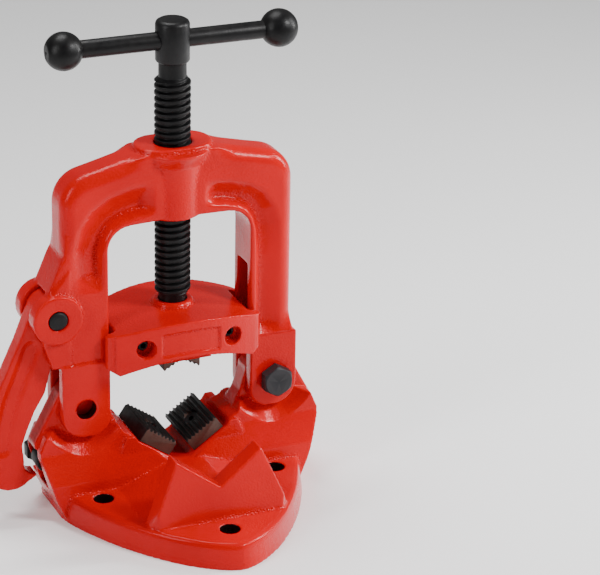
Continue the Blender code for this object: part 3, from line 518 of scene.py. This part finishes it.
def spindle():
    """One skin of rings from the tail to the head; in the threaded length each ring follows the helix."""
    pitch, crest, root = 5.0, 13.0, 10.3
    plain = [
        (122.3, 0.0), (122.3, 9.3), (123.0, 10.1), (126.7, 10.1), (126.71, 8.0), (135.3, 8.0),
        (135.31, 10.1), (148.0, 10.1),
    ]
    top = [
        (323.5, 10.0), (332.4, 10.0), (333.2, 11.6), (334.2, 12.2), (360.4, 12.2), (362.2, 11.4),
        (363.3, 9.6), (363.5, 8.6), (363.5, 0.0),
    ]
    sides = 72
    heights = [150.0 + 0.2 * k for k in range(int((323.0 - 150.0) / 0.2) + 1)]
    shape = bmesh.new()
    rings = []

    def ring(height, radius_at):
        if radius_at(0) < 1e-6:
            rings.append([shape.verts.new((0, 0, height * MM))])
            return
        spots = []
        for k in range(sides):
            turn = 2 * math.pi * k / sides
            radius = radius_at(turn)
            spots.append(
                shape.verts.new((radius * math.cos(turn) * MM, radius * math.sin(turn) * MM, height * MM))
            )
        rings.append(spots)

    def thread_at(height):
        low, high = 157.0, 322.0
        fade = min(1.0, max(0.0, (height - low) / 3.0)) * min(1.0, max(0.0, (high - height) / 3.0))

        def radius(turn):
            share = (height / pitch - turn / (2 * math.pi)) % 1.0
            swing = 0.5 - 0.5 * math.cos(2 * math.pi * share)
            form = min(1.0, max(0.0, (swing - 0.12) / 0.62))
            form = form * form * (3 - 2 * form)
            neck = 10.1 if height < 200 else 10.0
            return neck + (root - neck) * fade + (crest - root) * form * fade

        return radius

    for height, radius in plain:
        ring(height, lambda turn, r=radius: r)
    for height in heights:
        ring(height, thread_at(height))
    for height, radius in top:
        ring(height, lambda turn, r=radius: r)
    for low, high in zip(rings, rings[1:]):
        for k in range(sides):
            m = (k + 1) % sides
            corners = [low[k % len(low)], low[m % len(low)], high[m % len(high)], high[k % len(high)]]
            face = [v for i, v in enumerate(corners) if v not in corners[:i]]
            shape.faces.new(face)
    bmesh.ops.recalc_face_normals(shape, faces=shape.faces)
    mesh = bpy.data.meshes.new("spindle_screw")
    shape.to_mesh(mesh)
    shape.free()
    screw = new_object("spindle_screw", mesh)
    along = (math.cos(math.radians(-2.5)), math.sin(math.radians(-2.5)), 0)
    start = [-20 * a for a in along[:2]] + [348.5]
    hole = lathe(
        "cross_hole",
        [(0, 0), (7.6, 0), (7.6, 7.2), (6.9, 8.2), (6.9, 31.8), (7.6, 32.8), (7.6, 40), (0, 40)],
        start,
        along,
        48,
    )
    boolean(screw, hole, "DIFFERENCE")
    screw.data.shade_smooth()
    screw.data.set_sharp_from_angle(angle=math.radians(50))
    return screw


def handle_ball(side, name):
    """A ball with a small flat where the bar enters and a dimple where its end shows."""
    turn = math.radians(-2.5)
    centre = (side * 79.0 * math.cos(turn), side * 79.0 * math.sin(turn), 348.5)
    radius, steps = 13.7, 40
    profile = []
    for k in range(steps + 1):
        angle = math.pi * k / steps
        height = radius * math.cos(angle)
        profile.append((radius * math.sin(angle), min(height, 12.3)))
    profile[0] = (0.0, 11.6)
    profile.insert(1, (4.6, 11.7))
    return lathe(name, profile, centre, (side * math.cos(turn), side * math.sin(turn), 0), 64)


def hex_bolt():
    """The hinge bolt: a chamfered hexagon with a washer face on a plain shank with a chamfered end."""
    across = 21.0
    corner = across / math.sqrt(3)
    outline = [
        (73.0 + corner * math.sin(math.pi * k / 3), 83.5 + corner * math.cos(math.pi * k / 3))
        for k in range(6)
    ]
    bolt = prism("hinge_hex", outline, -27.3, -19.0)
    limit = lathe(
        "chamfer",
        [(0, 0), (10.0, 0), (corner + 0.2, 1.5), (corner + 0.2, 20), (0, 20)],
        (73.0, -27.3, 83.5),
        (0, 1, 0),
        72,
    )
    boolean(bolt, limit, "INTERSECT")
    shank = lathe(
        "shank",
        [(0, 0), (10.2, 0), (10.2, 1.4), (7.0, 1.4), (7.0, 50.5), (6.0, 52.0), (0, 52.0)],
        (73.0, -19.7, 83.5),
        (0, 1, 0),
        48,
    )
    boolean(bolt, shank, "UNION")
    return soften(bolt, 0.35, 2, 25)


def latch_pin():
    """The latch pin, its ends peened into shallow domes."""
    end = 21.8
    profile = [
        (0, 2 * end), (3.6, 2 * end), (5.6, 2 * end - 0.3), (6.6, 2 * end - 0.9), (7.0, 2 * end - 1.8)
    ]
    profile += [(r, 2 * end - h) for r, h in reversed(profile)]
    return lathe("latch_rivet", profile, (LATCH[0], -end, LATCH[1]), (0, 1, 0), 48)


paint = enamel("red_enamel")
# Painted shade: the base's bench holes and the yoke's left fork hole are coloured near black inside.
bench_bore_shade = [
    ("Z", (-0.067, -0.035), 0.0074), ("Z", (0.067, -0.035), 0.0074), ("Z", (0.0, -0.111), 0.0074)
]
base_paint = enamel("red_enamel_base", bench_bore_shade)
yoke_paint = enamel("red_enamel_yoke", [("Y", (-0.073, 0.0835), 0.0076)])
black = black_steel("black_oxide")
head_black = black_steel(
    "black_oxide_bolt", (0.0030, 0.0034, 0.0060), (0.0065, 0.0075, 0.0115), (0.30, 0.44)
)
jaws = jaw_steel("jaw_steel_hard")
bright = bright_steel("steel_plain")

dress(base_casting(), "base_casting", "base", base_paint)
dress(yoke_frame(), "yoke_frame", "yoke", yoke_paint)
dress(latch_hook(), "latch_hook", "latch", paint)
dress(jaw_holder(), "jaw_holder", "jaw_carrier", paint)
dress(spindle(), "spindle", "screw", black)
dress(hex_bolt(), "hinge_bolt", "base", head_black)
dress(latch_pin(), "latch_pin", "yoke", black)
for side, word in ((-1, "left"), (1, "right")):
    ball = handle_ball(side, f"knob_{word}")
    ball.data.shade_smooth()
    dress(ball, f"handle_ball_{word}", "handle", black)
for name in ("handle_bar", "hinge_nut", "catch_bolt", "catch_roller"):
    piece = soften(from_node(name, f"{name}_finished"), 0.4, 2)
    dress(piece, name, {"handle_bar": "handle"}.get(name, "base"), black)
for name in ("lower_jaw_left", "lower_jaw_right", "upper_jaw"):
    piece = soften(from_node(name, f"{name}_finished"), 0.22, 1, 25)
    dress(piece, name, "jaw_carrier" if name == "upper_jaw" else "base", jaws)

for name, node in nodes.items():
    look = bright if name.endswith("washer") or name == "spindle_keeper" else black
    for slot in node.material_slots:
        slot.material = look


# ------------------------------------------------------------------ studio


def studio():
    floor_mesh = bpy.data.meshes.new("floor")
    shape = bmesh.new()
    bmesh.ops.create_grid(shape, x_segments=1, y_segments=1, size=6.0)
    shape.to_mesh(floor_mesh)
    shape.free()
    floor = new_object("floor", floor_mesh)
    n = Nodes("floor_paper")
    n.link(n.mix(n.noise(3.0), (0.93, 0.93, 0.93), (0.95, 0.95, 0.95)), n.shader.inputs["Base Color"])
    n.shader.inputs["Roughness"].default_value = 0.9
    n.shader.inputs["Emission Color"].default_value = (1.0, 1.0, 1.0, 1.0)
    n.shader.inputs["Emission Strength"].default_value = 0.12
    floor.data.materials.append(n.material)

    world = bpy.data.worlds.new("studio")
    bpy.context.scene.world = world
    world.use_nodes = True
    world.node_tree.nodes["Background"].inputs["Color"].default_value = (1.0, 1.0, 1.0, 1.0)
    world.node_tree.nodes["Background"].inputs["Strength"].default_value = 0.20

    def lamp(name, spot, aim, size, power):
        data = bpy.data.lights.new(name, "AREA")
        data.shape = "RECTANGLE"
        data.size, data.size_y = size
        data.energy = power
        made = bpy.data.objects.new(name, data)
        bpy.context.scene.collection.objects.link(made)
        made.location = spot
        made.rotation_euler = (Vector(aim) - Vector(spot)).to_track_quat("-Z", "Y").to_euler()

    middle = (0, 0, 0.17)
    lamp("key", (0.75, -0.75, 1.05), middle, (0.3, 0.3), 17.0)
    lamp("left", (-1.1, -0.35, 0.75), middle, (0.35, 0.8), 7.0)
    lamp("right", (1.15, -0.20, 0.62), middle, (0.14, 0.7), 13.0)
    lamp("top", (-0.1, 0.35, 1.3), middle, (0.6, 0.5), 11.0)


def camera():
    turn, rise = math.radians(-21.5), math.radians(24.0)
    pan = math.atan2(127.5, 3000.0)
    back = Vector((math.sin(turn) * math.cos(rise), -math.cos(turn) * math.cos(rise), math.sin(rise)))
    right = Vector((math.cos(turn), math.sin(turn), 0))
    up = back.cross(right)
    spot = Vector((0, 0, 0.160)) + back * 2.160
    panned_back = back * math.cos(pan) - right * math.sin(pan)
    panned_right = right * math.cos(pan) + back * math.sin(pan)
    data = bpy.data.cameras.new("camera")
    data.sensor_width = 36.0
    data.lens = 180.0
    data.clip_end = 50.0
    made = bpy.data.objects.new("camera", data)
    bpy.context.scene.collection.objects.link(made)
    made.matrix_world = Matrix.Translation(spot) @ Matrix(
        (panned_right, up, panned_back)
    ).transposed().to_4x4()
    bpy.context.scene.camera = made


studio()
camera()
